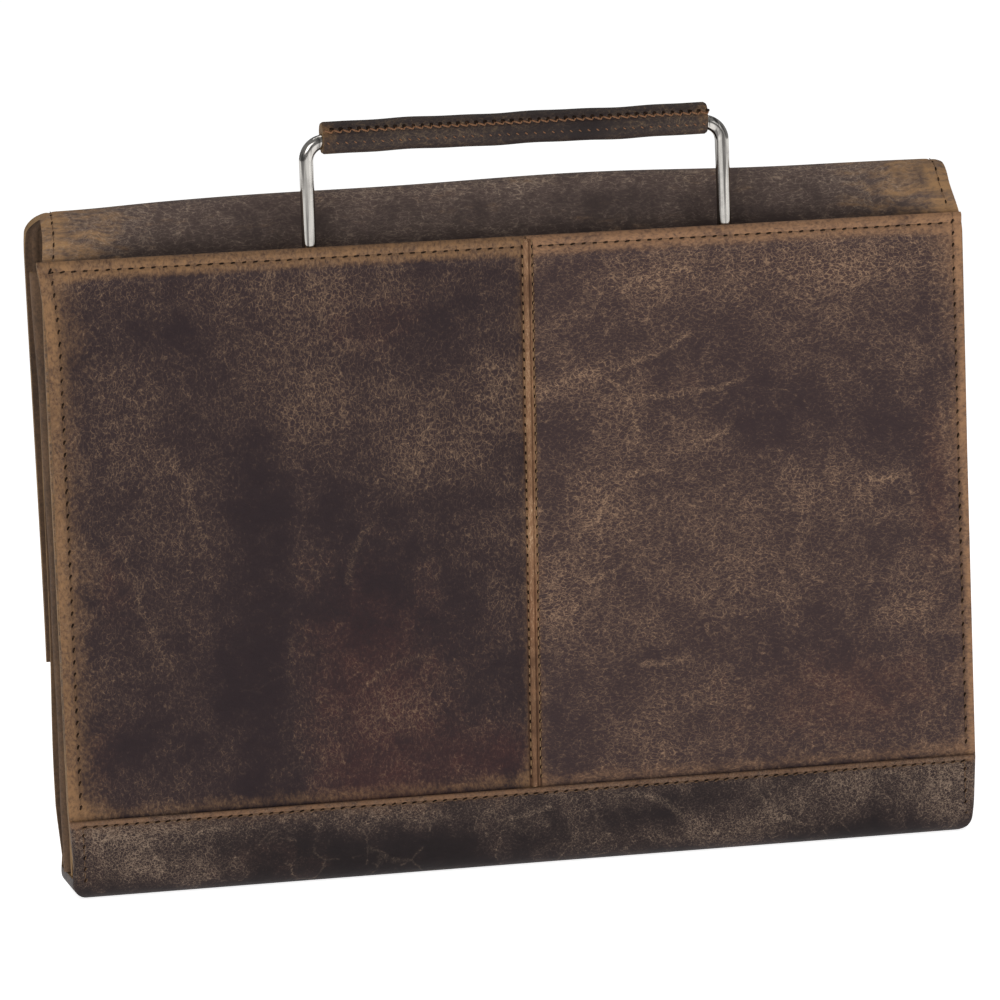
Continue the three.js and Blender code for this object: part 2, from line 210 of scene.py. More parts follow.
# where each layer of a hide begins, where it is full and how strong it is
layers = {
    "ground": (-0.3, 0.8, 1), "red": (0.15, 1.2, 0.75), "high": (0.5, 1.5, 0.35),
    "lively": (0.05, 1.25, 1), "pits": (0.0, 0.3, 0.45), "hairs": (0.002, 0.03, 1),
    "lines": (0.0, 0.03, 1), "net": (0.0, 0.1, 1), "folds": (0.0, 0.04, 1),
    "foldPlaces": (-0.04, 0.12, 1), "wornAndWrinkleShaded": (0.12, 1.25, 1), "wornShade": (-0.42, 0.72, 0.9),
    "wornVeins": (0.2, 0.95, 1), "wornPits": (0.0, 0.3, 0.4), "creaseStart": (-0.05, 0.15, 1),
    "creaseEnd": (0.85, 1.05, 1), "creaseSide": (0.0, 0.0022, 1),
}


def layer(value, key):
    low, high, strength = layers[key]
    shown = value.step(low, high)
    return shown if strength == 1 else shown * strength


def creaseLine(x, z, line):  # a soft pale line from one spot to another, bowed to one side, in millimetres
    x0, z0, x1, z1, bow = (v / 1000 for v in line)
    length = hypot(x1 - x0, z1 - z0)
    ux, uz = (x1 - x0) / length, (z1 - z0) / length
    along = (x * ux + z * uz - (x0 * ux + z0 * uz)) * (1 / length)
    aside = z * ux - x * uz - (z0 * ux - x0 * uz) - along * (1 - along) * (4 * bow)
    ends = layer(along, "creaseStart") * (1 - layer(along, "creaseEnd"))
    return (1 - layer(aside.calc("ABSOLUTE"), "creaseSide")) * ends


def leather(name, look):
    hide = Finish(name)
    look = {**plainHide, **look}
    colour = dict(zip(toneNames, look["tones"].split()))
    # this colour attribute holds the sheet's age and its painted light and shade: painted sheen in the light
    # layer, painted shadows and shaded grooves in the dark layer
    ageAndPaintedLight = hide.add("Attribute", {"attribute_name": "ageAndPaintedLight"}, {}, "Color")
    split = hide.add("SeparateColor", {}, {0: ageAndPaintedLight}).socket.node
    lighter, darker, redder = (Wire(hide, split.outputs[i]) for i in range(3))
    wear = hide.add("Attribute", {"attribute_name": "wear"}, {}, "Fac")

    def pattern(key, place, finer=1):  # runs to both sides of zero
        scale, detail, roughness = patterns[key]
        return hide.noise(place, scale * finer, detail, roughness) - 0.5

    bent = hide.shifted(hide.place, *hideScales["bend"])
    pulled = hide.stretched(bent, look["stretch"], look["turn"])
    clouds, mottle = pattern("clouds", hide.place), pattern("mottle", bent)
    grain, wander = (pattern(key, pulled, look["fine"]) for key in ("grain", "wander"))
    net = hide.cells(pulled, hideScales["net"] * look["fine"])
    folds = hide.cells(bent, hideScales["folds"])

    hairs = 1 - layer(wander.calc("ABSOLUTE"), "hairs")
    threadLines = 1 - layer((mottle - 0.04).calc("ABSOLUTE"), "lines")
    veins = (1 - layer(net, "net")) * (0.6 + grain) + hairs * 0.7 + threadLines * 0.3
    creases = (1 - layer(folds, "folds")) * layer(mottle, "foldPlaces") * look["crease"]
    if look["creases"]:
        spot = hide.add("SeparateXYZ", {}, {0: bent}).socket.node
        x, z = Wire(hide, spot.outputs[0]), Wire(hide, spot.outputs[2])
        for line in look["creases"]:
            creases = creases + creaseLine(x, z, line) * look["bold"]

    tone = clouds * (1.15 * look["cloud"]) + mottle * (0.8 * look["mottle"]) + (0.45 + look["shift"])
    tone = tone + lighter * 0.5 - darker * 0.6
    paint = hide.blend(colour["deep"], colour["mid"], layer(tone, "ground"))
    paint = hide.blend(paint, colour["red"], layer(redder + mottle * 0.8 + grain * 0.4, "red"))
    paint = hide.blend(paint, colour["high"], layer(tone + grain * 0.9, "high"))
    lively = layer(tone + grain * 1.1, "lively") + creases * (0.5 + grain)
    paint = hide.blend(paint, colour["pale"], (veins * lively * look["vein"]).calc("MINIMUM", 0.8))
    paint = hide.blend(paint, colour["pale"], creases * (grain * 2.0 + 0.3) * 0.3)
    paint = hide.blend(paint, colour["deep"], layer(grain * -1.0, "pits"))

    wornAndWrinkleShaded = wear + mottle * 1.3 + grain * 0.5
    shade = mottle * 2.0 - grain * 1.1 + clouds * 0.6
    # on streaked hides the long streaks are painted wrinkle shading, laid into the worn mask and the rubbed
    # colour as lighter and darker bands
    if look["streaked"]:
        wrinkleShading = pattern("wrinkleShading", hide.stretched(bent, streakForm["stretch"], streakForm["turn"]))
        wornAndWrinkleShaded, shade = wornAndWrinkleShaded + wrinkleShading * 1.5, shade - wrinkleShading * 2.6
    wornAndWrinkleShaded = layer(wornAndWrinkleShaded, "wornAndWrinkleShaded")
    rubbedAndWrinkleShaded = hide.blend(colour["tan"], colour["mid"], layer(shade, "wornShade"))
    rubbedAndWrinkleShaded = hide.blend(rubbedAndWrinkleShaded, colour["pale"], veins * layer(clouds + mottle + 0.5, "wornVeins") * 0.5)
    rubbedAndWrinkleShaded = hide.blend(rubbedAndWrinkleShaded, colour["mid"], layer(grain * -1.0, "wornPits"))
    paint = hide.blend(paint, rubbedAndWrinkleShaded, wornAndWrinkleShaded * 0.95)

    relief = hide.noise(hide.place, *hideScales["relief"])
    bump = hide.add("Bump", {}, {"Height": relief, "Strength": 0.6, "Distance": 0.0008}, "Normal")
    rough = 0.56 + wornAndWrinkleShaded * 0.12 + grain * 0.3
    return hide.done(**{"Base Color": paint, "Roughness": rough, "Normal": bump, "Specular IOR Level": 0.13})


# the flesh side and the cut edges: colours, scales and shares of the fibres and the clouds
fibreLooks = {
    "flesh_side": {
        "low": "#43342a", "high": "#745942", "stretch": (1, 1, 1), "rough": 0.92,
        "fibres": (700, 0.6), "clouds": (30, 0.6),
    },
    "cut_edge": {
        "low": "#5c4630", "high": "#96754b", "stretch": (1, 2.5, 1), "rough": 0.8,
        "fibres": (900, 0.5), "clouds": (60, 0.7),
    },
}


def fibrous(name):
    finish, look = Finish(name), fibreLooks[name]
    (fine, fineShare), (wide, wideShare) = look["fibres"], look["clouds"]
    fuzz = finish.noise(finish.stretched(finish.place, look["stretch"]), fine, 3.0, 0.7)
    mask = (fuzz * fineShare + finish.noise(finish.place, wide) * wideShare).step(0.35, 0.85)
    paint = finish.blend(look["low"], look["high"], mask)
    bump = finish.add("Bump", {}, {"Height": fuzz, "Strength": 0.5, "Distance": 0.0003}, "Normal")
    return finish.done(**{"Base Color": paint, "Normal": bump, "Roughness": look["rough"]})


def plainThread(name, code):
    finish = Finish(name)
    strands = finish.noise(finish.place, 1800, 2.0)
    paint = finish.blend(code, "#3a2c20", strands.step(0.45, 0.8) * 0.7)
    return finish.done(**{"Base Color": paint, "Roughness": 0.75})


# the needle holes are dark pits laid on the surface: painted shade standing for the holes' depth
def holeShade():
    finish = Finish("painted_hole_shade")
    shadeSpeckle = finish.noise(finish.place, 900, 2.0)
    paint = finish.blend("#1b130e", "#3a291d", shadeSpeckle.step(0.4, 0.7))
    return finish.done(**{"Base Color": paint, "Roughness": 0.95, "Specular IOR Level": 0.1})


hides = {name: leather(name, look) for name, look in leatherLooks.items()}
flesh, edgeFinish, holeShadeFinish = fibrous("flesh_side"), fibrous("cut_edge"), holeShade()
threadColours = {"rust": "#82593a", "pale": "#94744f", "brown": "#6f5238"}
threads = {key: plainThread("thread_" + key, code) for key, code in threadColours.items()}
print("leathers ready")


# mesh tools, in millimetres
def smooth(value):
    value = np.clip(value, 0, 1)
    return value * value * (3 - 2 * value)


def hump(distance, width):
    return np.exp(-((distance / width) ** 2))


def gridFaces(rows, columns, closed=False, keep=None):
    faces = []
    for r in range(0, (rows - 1) * columns, columns):
        for c in range(columns if closed else columns - 1):
            if keep is None or keep[r // columns, c]:
                n = (c + 1) % columns
                faces.append((r + c, r + n, r + columns + n, r + columns + c))
    return faces


def joined(x, y, z):
    return np.stack(np.broadcast_arrays(x, y, z), -1)


def makeObject(name, points, faces, materials, ageAndPaintedLight=None, wear=None):
    mesh = bpy.data.meshes.new(name)
    mesh.from_pydata((np.asarray(points, float) / 1000).tolist(), [], faces)
    for material in materials:
        mesh.materials.append(material)
    if ageAndPaintedLight is not None:
        colours = np.ones((len(mesh.vertices), 4), np.float32)
        colours[:, :3] = np.clip(ageAndPaintedLight.reshape(-1, 3), 0, 1)
        values = np.clip(wear, 0, 1.2).astype(np.float32)
        mesh.attributes.new("ageAndPaintedLight", "FLOAT_COLOR", "POINT").data.foreach_set("color", colours.ravel())
        mesh.attributes.new("wear", "FLOAT", "POINT").data.foreach_set("value", values.ravel())
    mesh.polygons.foreach_set("use_smooth", [True] * len(mesh.polygons))
    thing = bpy.data.objects.new(name, mesh)
    bpy.context.scene.collection.objects.link(thing)
    return thing


def applied(thing):  # swaps the mesh for the one its modifiers give
    bpy.context.view_layer.update()
    shown = thing.evaluated_get(bpy.context.evaluated_depsgraph_get())
    mesh = bpy.data.meshes.new_from_object(shown)
    mesh.name = thing.name
    thing.modifiers.clear()
    thing.data = mesh
    return thing


bevel = {"width": 0.0004, "segments": 2, "angle": radians(55)}
# the layers of a sheet's age and of its painted light and shade
light, dark, red = 0, 1, 2


def settle(thing, node, body="case"):
    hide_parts(node)
    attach(thing, body)


def leatherSheet(
    node, slot, grid, wall, hide, ageAndPaintedLight, wear, closed=False, keep=None, thin=None, flip=False, cap=False
):
    rows, columns = grid.shape[:2]
    faces = gridFaces(rows, columns, closed, keep)
    if cap:
        faces.append(tuple((rows - 1) * columns + c for c in range(columns)))
    if flip:
        faces = [face[::-1] for face in faces]
    materials = [hides[hide], flesh, edgeFinish]
    thing = makeObject(node + "_hide", grid.reshape(-1, 3), faces, materials, ageAndPaintedLight, wear)
    solid = thing.modifiers.new("wall", "SOLIDIFY")
    solid.thickness, solid.offset = wall / 1000, -1
    solid.material_offset, solid.material_offset_rim = 1, 2
    if thin is not None:
        group = thing.vertex_groups.new(name="thin")
        for i, weight in enumerate(thin.reshape(-1)):
            group.add([i], float(weight), "REPLACE")
        solid.vertex_group = "thin"
    rounded = thing.modifiers.new("rounded", "BEVEL")
    rounded.width, rounded.segments = bevel["width"], bevel["segments"]
    rounded.limit_method, rounded.angle_limit = "ANGLE", bevel["angle"]
    settle(applied(thing), node)


def patchAgeAndPaintedLight(x, z, patches):  # listed patches of age and painted light: middle, reach, amount and perhaps a turn
    ageAndPaintedLight = np.zeros(x.shape + (3,))
    for kind, spots in patches.items():
        for px, pz, rx, rz, amount, *turn in spots:
            c, s = cos(radians(sum(turn))), sin(radians(sum(turn)))
            along, across = (x - px) * c + (z - pz) * s, (z - pz) * c - (x - px) * s
            channel = {"light": light, "dark": dark, "red": red}[kind]
            ageAndPaintedLight[..., channel] += amount * np.exp(-((along / rx) ** 2) - (across / rz) ** 2)
    return ageAndPaintedLight


def dents(x, z, size):  # slow waves of a hide that has been carried about
    first = np.sin(x / 37 + 1.3) * np.sin(z / 29 + 0.5)
    second = np.sin(x / 21 - z / 33 + 2.1) + 0.5 * np.sin(x / 12 + z / 15 + 0.7)
    return size * (0.6 * first + 0.4 * second)


def blob(length, width, height, around=8, along=5):
    points = []
    for r in range(along + 1):
        turn = pi * r / along
        ring = sin(turn)
        for i in range(around):
            a = 2 * pi * i / around
            points.append((length * cos(turn), width * ring * cos(a), height * ring * sin(a)))
    return np.array(points) / 2, gridFaces(along + 1, around, True)


stitch = {
    "reach": 0.4, "wobble": 6, "spread": 0.12, "holeHigh": 0.36, "holeLift": -0.02, "biteShare": 0.85,
    "biteSize": 0.42, "biteLift": 0.04, "overlap": 0.3, "wide": 0.5, "high": 0.4, "lift": -0.1,
}
backwards, forwards = np.array([0.0, -1.0, 0.0]), np.array([0.0, 1.0, 0.0])


class Seam:  # collects the stitches of one piece
    def __init__(self, name, thread):
        self.name, self.thread = name, thread
        self.points, self.faces, self.kinds, self.count = [], [], [], 0

    def put(self, shape, place, along, up, kind):  # kind 0 is thread and kind 1 is a dark pit of painted shade that stands for a needle hole
        side = np.cross(up, along)
        points, faces = shape
        self.points.append(place + points @ np.array([along, side, up]))
        self.faces += [tuple(i + self.count for i in face) for face in faces]
        self.kinds += [kind] * len(faces)
        self.count += len(points)

    def row(self, line, normals, pitch, slant=12, hole=(1.7, 0.8), bit=0.45):
        normals = normals + 0 * line
        steps = np.linalg.norm(np.diff(line, axis=0), axis=1)
        run = np.concatenate([[0], np.cumsum(steps)])
        count = max(2, int(round(run[-1] / pitch)))

        def read(values, at):
            return np.array([np.interp(at, run, values[:, k]) for k in range(3)])

        for i, at in enumerate((np.arange(count) + 0.5) * run[-1] / count):
            place, up = read(line, at), read(normals, at)
            up /= np.linalg.norm(up)
            along = read(line, at + stitch["reach"]) - read(line, at - stitch["reach"])
            along -= up * (along @ up)
            along /= np.linalg.norm(along)
            side = np.cross(up, along)
            jitter = sin(i * 12.9898 + len(self.points) * 0.37)
            turn = radians(slant + stitch["wobble"] * jitter)
            tilted = along * cos(turn) + side * sin(turn)
            size = 1 + stitch["spread"] * sin(i * 7.31)
            pit = blob(hole[0] * size, hole[1], stitch["holeHigh"])
            self.put(pit, place + up * stitch["holeLift"], tilted, up, 1)
            bite = blob(hole[0] * stitch["biteShare"], stitch["biteSize"], stitch["biteSize"])
            self.put(bite, place + up * stitch["biteLift"] - side * bit, tilted, up, 0)
            middle = place + along * run[-1] / count / 2
            thread = blob(pitch - hole[0] + stitch["overlap"], stitch["wide"], stitch["high"])
            self.put(thread, middle + up * stitch["lift"], along, up, 0)

    def make(self, body):
        mesh = np.concatenate(self.points)
        thing = makeObject(self.name, mesh, self.faces, [threads[self.thread], holeShadeFinish])
        thing.data.polygons.foreach_set("material_index", self.kinds)
        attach(thing, body)


def spaced(stops):  # stops are (from, to, step) stretches that follow each other
    values = [stops[0][0]]
    for start, end, step in stops:
        count = max(1, int(round(abs(end - start) / step)))
        values += list(np.linspace(start, end, count + 1)[1:])
    return np.array(values)


# the case's form, as in the frame
form = {
    "halfWidth": 195.0, "faceY": -15.45, "wallY": -13.35, "flapY": 17.95, "bulge": 1.0, "opening": 15.0,
    "seamMargin": 6.0, "ramp": 50.0, "bandTop": 33.0, "pocketTop": 264.5, "foot": 9.3, "taper": 2.2,
    "flare": 3.2, "flareFrom": 222.5, "flareOver": 42.0, "seamFoot": 2.5, "seamLean": 4.0,
}


def slope(x, z, share):  # 0 at the case's sides and at the band, 1 in the middle of its upper part
    across = smooth((form["halfWidth"] - form["seamMargin"] - np.abs(x)) / form["ramp"])
    return across, smooth((z - form["bandTop"]) / (share * form["pocketTop"] - form["bandTop"]))


def pocketFace(x, z):
    across, up = slope(x, z, 0.7)
    return form["faceY"] - form["bulge"] * across * up


def backWall(x, z):
    across, up = slope(x, z, 0.8)
    return form["wallY"] + form["opening"] * across * up


def tapered(z):  # the base band draws the sheets in towards the foot
    return form["taper"] * np.clip((form["bandTop"] - z) / form["bandTop"], 0, 1)


def leftEdge(z):
    flare = form["flare"] * np.clip((z - form["flareFrom"]) / form["flareOver"], 0, 1) ** 2
    return tapered(z) - form["halfWidth"] - flare


def rightEdge(z):
    return form["halfWidth"] - tapered(z)


def seamLine(z):
    return form["seamFoot"] + form["seamLean"] * (z - form["bandTop"]) / (form["pocketTop"] - form["bandTop"])


# pocket panels
pocket = {
    "wall": 1.7, "hemDepth": 10.0, "hemRow": 4.4, "leftRow": 5.2, "rightRow": 3.9, "hemPitch": 4.7,
    "sidePitch": 5.1, "gap": 0.15, "lip": 1.85, "endLip": 0.95, "moreLip": 0.85, "pressed": 0.4,
    "leftPatches": {
        "light": [(-100, 246, 110, 13, 0.42), (-174, 256, 22, 10, 0.3), (-168, 196, 20, 26, 0.45),
            (-146, 168, 14, 20, 0.55, 10), (-33, 181, 26, 20, 0.6), (-94, 204, 30, 16, 0.35),
            (-8, 204, 8, 20, 0.6), (-132, 134, 16, 22, 0.3), (-60, 68, 26, 8, 0.35, 12),
            (-56, 218, 30, 12, 0.2), (-8, 120, 8, 26, 0.3), (-176, 96, 8, 16, 0.4)],
        "dark": [(-122, 100, 22, 60, 0.25, -4), (-111, 176, 14, 30, 0.3), (-46, 113, 40, 30, 0.35),
            (-148, 233, 24, 10, 0.4), (-24, 236, 22, 14, 0.45), (-72, 156, 20, 16, 0.3),
            (-160, 62, 22, 18, 0.4)],
        "red": [(-58, 232, 30, 18, 0.4), (-10, 48, 22, 14, 0.5), (-172, 124, 12, 30, 0.4),
            (-180, 56, 12, 24, 0.35)],
    },
    "rightPatches": {
        "light": [(100, 246, 120, 15, 0.5), (54, 243, 22, 12, 0.4), (26, 204, 18, 6, 0.7, 24),
            (42, 190, 10, 20, 0.5), (74, 175, 18, 12, 0.45), (34, 152, 14, 18, 0.6),
            (15, 112, 12, 18, 0.75), (89, 117, 18, 24, 0.4), (52, 96, 20, 12, 0.4, 20),
            (129, 152, 24, 14, 0.35), (73, 72, 22, 14, 0.45), (161, 96, 12, 18, 0.4),
            (148, 246, 30, 10, 0.5), (61, 42, 16, 8, 0.3), (186, 176, 5, 14, 0.6), (157, 152, 8, 3, 0.6)],
        "dark": [(20, 246, 14, 10, 0.4), (108, 186, 26, 18, 0.45), (158, 172, 30, 16, 0.5),
            (50, 80, 16, 14, 0.4), (19, 172, 10, 14, 0.4), (105, 89, 30, 16, 0.2), (15, 54, 14, 18, 0.35),
            (78, 212, 18, 8, 0.3), (172, 228, 14, 10, 0.2)],
        "red": [(60, 196, 30, 8, 0.3, 14), (180, 150, 12, 50, 0.5), (140, 62, 60, 26, 0.5)],
    },
}


def panelRows():  # height, way over the lip and rise: up the face, over the mouth, down the hem
    top, band = form["pocketTop"], form["bandTop"]
    lip, hem = top - pocket["lip"], top - pocket["hemDepth"]
    flat = spaced([
        (form["foot"], band, 12), (band, band + 3, 0.75), (band + 3, hem - 2, 2.6),
        (hem - 2, hem + 2, 0.8), (hem + 2, top - 6, 1.0), (top - 6, lip, 0.4),
    ])
    rows = [(z, 0.0, 0.0) for z in flat]
    rows += [(lip, 1 - cos(a), sin(a)) for a in np.linspace(0, pi, 11)[1:]]
    rows += [(z, 2.0, 0.0) for z in np.linspace(lip, hem, 6)[1:]]
    return np.array(rows)


def pocketPanel(side):
    left = side < 0
    edge, row = (leftEdge, pocket["leftRow"]) if left else (rightEdge, pocket["rightRow"])
    gap, top, band = side * pocket["gap"], form["pocketTop"], form["bandTop"]
    width = abs(edge(np.array(band)) - seamLine(band) - gap)
    stations = spaced([
        (0, row - 2, 0.7), (row - 2, row + 2, 0.35), (row + 2, 16, 1.0), (16, width - 8, 3.0),
        (width - 8, width, 2.0),
    ])
    z, out, rise = (column[:, None] for column in panelRows().T)
    away = stations[None, :] + 0 * z
    start, end = edge(z), seamLine(z) + gap
    x = start + (end - start) * away / width
    radius = pocket["endLip"] + pocket["moreLip"] * smooth((170 - np.abs(x)) / 20)
    high = z + radius * rise + (pocket["lip"] - radius) * (z >= top - pocket["lip"] - 0.01)
    hem, hemRow = top - pocket["hemDepth"], top - pocket["hemRow"]
    relief = dents(x, z, 0.3) * smooth(away / 12) * smooth((top - z) / 20) * smooth((z - band) / 12)
    relief -= 0.3 * smooth((z - hem + 1.2) / 2.4) * (out < 0.01)
    relief += pocket["pressed"] * hump(z - hemRow, 0.7) * (out < 0.01)
    relief += pocket["pressed"] * hump(away - row, 0.7) * (out < 0.5)
    relief -= 0.15 * hump(away - row / 2, 1.6) * (out < 0.5)
    y = pocketFace(x, np.minimum(z, top - pocket["lip"])) + radius * out + relief
    grid = joined(x, y, high)
    ageAndPaintedLight = patchAgeAndPaintedLight(x, z, pocket["leftPatches" if left else "rightPatches"])
    # painted shadow: a dark line where the base band's top edge casts its shadow on the panel
    ageAndPaintedLight[..., dark] += 0.3 * hump(z - band, 1.0)
    sideWear = 0.42 + 0.4 * smooth((z - 215) / 30) + 0.35 * hump(z - 172, 20)
    if left:  # the hide's own dark stripe, with a sudden right side, and the red field beside it
        stripe = smooth((-96 + 2 * np.sin(z / 19) - x) / 5)
        ageAndPaintedLight[..., dark] += 0.42 * stripe * hump(x + 108, 24) * smooth((235 - z) / 90)
        field = (1 - stripe) * hump(x + 64, 44) * smooth((185 - z) / 120)
        ageAndPaintedLight[..., red] += 0.6 * field
        ageAndPaintedLight[..., dark] += 0.12 * field
        sideWear = 0.85 + 0.12 * np.sin(z / 17)
    # painted shade in the pressed grooves of the side and hem stitch rows
    ageAndPaintedLight[..., dark] += 0.8 * hump(away - row, 0.8) + 0.5 * hump(z - hemRow, 0.7)
    # wear along the mouth, the side, the foot, the seam and one rubbed spot
    wear = smooth((11 - (top - high)) / 6)
    wear = wear + sideWear * (0.8 * hump(away - 1, 5.5) + 0.42 * smooth((27 - away) / 20))
    wear = wear + (0 if left else 0.8) * hump(away, 2.8)
    wear = wear + 0.12 * hump(x + 8, 14) * hump(z - 42, 12)
    wear = wear + 0.5 * hump(z - 35.5, 4) + 0.62 * hump(width - away, 4.5)
    thin = np.where(z > hem - 1, 0.5, 1.0) * np.ones_like(x)
    name = "pocket_panel_left" if left else "pocket_panel_right"
    kind = "left_panel_" if left else "right_panel_"
    slot, hide = kind + "leather", kind + "hide"
    leatherSheet(name, slot, grid, pocket["wall"], hide, ageAndPaintedLight, wear, thin=thin, flip=not left)


def pocketStitching():
    seam = Seam("pocket_stitching", "brown")
    hemZ = form["pocketTop"] - pocket["hemRow"]
    for start, end in ((leftEdge(hemZ) + 3, seamLine(hemZ) - 3.5), (seamLine(hemZ) + 3.5, 195 - 7)):
        x = np.linspace(start, end, 60)
        line = joined(x, pocketFace(x, hemZ), hemZ)
        seam.row(line, backwards, pocket["hemPitch"], slant=9, hole=(2.3, 0.9), bit=0.5)
    for edge, row, sign in ((leftEdge, pocket["leftRow"], 1), (rightEdge, pocket["rightRow"], -1)):
        z = np.linspace(form["bandTop"] + 3, form["pocketTop"] - 1.2, 90)
        x = edge(z) + sign * row
        line = joined(x, pocketFace(x, z) + 0.25 - 0.25 * smooth((z - 250) / 6), z)
        seam.row(line, backwards, pocket["sidePitch"], slant=-30, hole=(2.3, 1.15), bit=0.6)
    seam.make("case")


pocketPanel(-1)
pocketPanel(1)
pocketStitching()
print("pocket made")

# seam strip
strip = {
    "half": 2.75, "wall": 0.9, "rows": 2.0, "pitch": 3.9, "proud": 1.05, "shift": 0.25, "groove": 0.75,
    "patches": {
        "light": [(5, 150, 6, 40, 0.3)],
        "dark": [(4, 60, 6, 20, 0.3)],
        "red": [(4, 110, 6, 26, 0.6)],
    },
}


def seamStrip():
    half = strip["half"]
    across = spaced([(-half, -1.4, 0.2), (-1.4, 1.4, 0.28), (1.4, half, 0.2)])
    z = spaced([(33.3, 258, 2.2), (258, 263.2, 0.6)])[:, None]
    a = across[None, :] + 0 * z
    x = seamLine(z) + strip["shift"] + a * (1 + 0.04 * np.sin(z / 9) + 0.03 * np.sin(z / 2.7))
    crown = strip["proud"] * (1 - np.clip(np.abs(a) / half, 0, 1) ** 4) + 0.15
    crown += 0.4 * hump(a + 0.35, 0.7) - 0.55 * hump(a - strip["groove"], 0.35)
    crown -= 0.5 * (hump(a - strip["rows"], 0.4) + hump(a + strip["rows"], 0.4))
    crown -= 0.8 * smooth((z - 261.8) / 1.4)
    grid = joined(x, pocketFace(x, z) - crown, z)
    ageAndPaintedLight = patchAgeAndPaintedLight(x, z, strip["patches"])
    # painted shade in the stitch rows and the groove, and along the sides where the strip turns down
    ageAndPaintedLight[..., dark] += 0.5 * hump(np.abs(a) - strip["rows"], 0.5) + 0.7 * hump(a - strip["groove"], 0.4)
    ageAndPaintedLight[..., dark] += 0.9 * smooth((np.abs(a) - 1.9) / 0.8)
    wear = 0.1 + 0 * x
    leatherSheet("pocket_seam_strip", "strip_leather", grid, strip["wall"], "strip_hide", ageAndPaintedLight, wear)
    seam = Seam("seam_stitching", "pale")
    for side in (-1, 1):
        z = np.linspace(35.5, 262.0, 100)
        x = seamLine(z) + strip["shift"] + side * strip["rows"]
        line = joined(x, pocketFace(x, z) - 0.62, z)
        hole = (1.5, 1.0 - 0.15 * side)
        seam.row(line, backwards, strip["pitch"], slant=-20 * side, hole=hole, bit=0.5)
    seam.make("case")


seamStrip()
print("seam strip made")

# back wall and flap
flap = {
    "top": 287.0, "rise": 29.0, "shoulder": 19.0, "end": 95.0, "leftSag": 3.0, "rightSag": 1.0,
    "endSag": 1.2, "outset": 3.2, "wall": 2.0, "row": 4.7, "pitch": 5.1, "pressed": 0.4, "margin": 16,
    "patches": {
        # the long light patch along the fold's top is a painted sheen
        "light": [(0, 287, 150, 7, 0.7), (-160, 276, 30, 12, 0.5), (170, 276, 26, 12, 0.5)],
        "dark": [(-60, 278, 60, 8, 0.4), (60, 276, 40, 6, 0.3)],
    },
    "frontPatches": {
        "light": [(-120, 230, 50, 20, 0.5, 8), (90, 210, 46, 26, 0.45, -12), (-40, 150, 60, 18, 0.35, 4),
            (140, 140, 24, 30, 0.35)],
        "dark": [(20, 240, 60, 16, 0.4), (-140, 160, 30, 40, 0.45), (70, 130, 50, 20, 0.4, 6)],
        "red": [(-90, 120, 40, 14, 0.4), (150, 230, 26, 20, 0.35)],
    },
}


def flapPath(x, over):  # over runs from 0 at the foot to 1 at the fold, 2 behind it, 3 at the front's edge
    sag = np.where(x < 0, flap["leftSag"], flap["rightSag"]) * np.abs(x / form["halfWidth"]) ** 2
    sag = sag + flap["endSag"] * np.clip((np.abs(x) - 187) / 8, 0, 1) ** 2
    sag = sag + flap["endSag"] * hump(x + 150, 55)
    top = flap["top"] - sag
    start = flap["top"] - flap["rise"]
    startY = backWall(x, start)
    middle, reach = (startY + form["flapY"]) / 2, (form["flapY"] - startY) / 2
    backZ = form["foot"] + (start - sag - form["foot"]) * np.clip(over, 0, 1)
    turn = pi * np.clip(over - 1, 0, 1)
    rise = np.where(turn < pi / 2, flap["rise"], flap["shoulder"])
    frontZ = top - flap["shoulder"] - (top - flap["shoulder"] - flap["end"]) * np.clip(over - 2, 0, 1)
    z = np.where(over <= 1, backZ, np.where(over >= 2, frontZ, top - rise * (1 - np.sin(turn))))
    y = np.where(over >= 2, form["flapY"], middle - reach * np.cos(turn))
    y = np.where(over <= 1, backWall(x, backZ), y)
    return y, z


def flapEdge(over, right):
    stops = [0, 1, 1.28, 1.6, 2, 3] if right else [0, 1, 1.28, 1.52, 1.8, 3]
    outs = [0, 0.3, -0.9, -1.0, 1, 0.5] if right else [0, 0.3, -0.3, -0.5, 1, 0.5]
    index = np.clip(np.searchsorted(stops, over) - 1, 0, 4)
    low, high = np.take(stops, index), np.take(stops, index + 1)
    share = smooth((over - low) / (high - low))
    out = np.take(outs, index) * (1 - share) + np.take(outs, index + 1) * share
    return form["halfWidth"] + flap["outset"] * out


